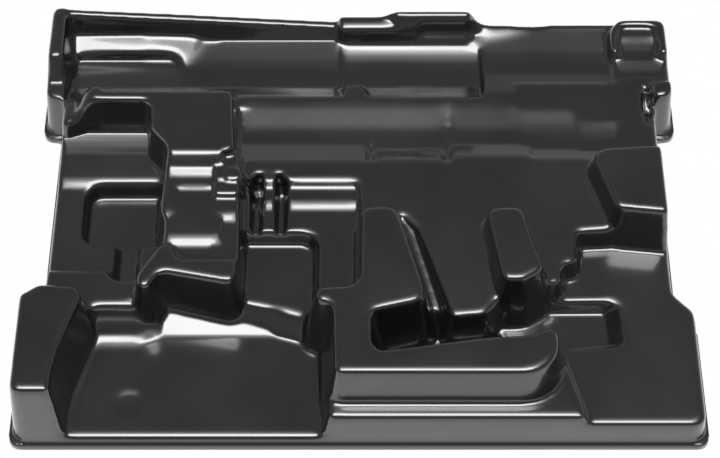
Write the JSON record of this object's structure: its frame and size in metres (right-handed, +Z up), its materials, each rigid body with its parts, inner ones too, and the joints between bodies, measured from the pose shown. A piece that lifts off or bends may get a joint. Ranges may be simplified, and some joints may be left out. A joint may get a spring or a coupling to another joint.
{
  "type": "tool case insert",
  "caption": "Thermoformed black plastic tray with shaped pockets, pads and troughs that hold a power tool inside a carrying case.",
  "frame": {"origin": "centre of the bounding box at the bottom of the edge lip", "axes": "+X to the right along the long side, +Y towards the rear rim, +Z up out of the pockets"},
  "size_m": [0.372, 0.277, 0.05],
  "materials": {
    "sheet": "semi-gloss black polystyrene sheet"
  },
  "bodies": {
    "root": {"case_insert": "sheet"}
  },
  "joints": []
}
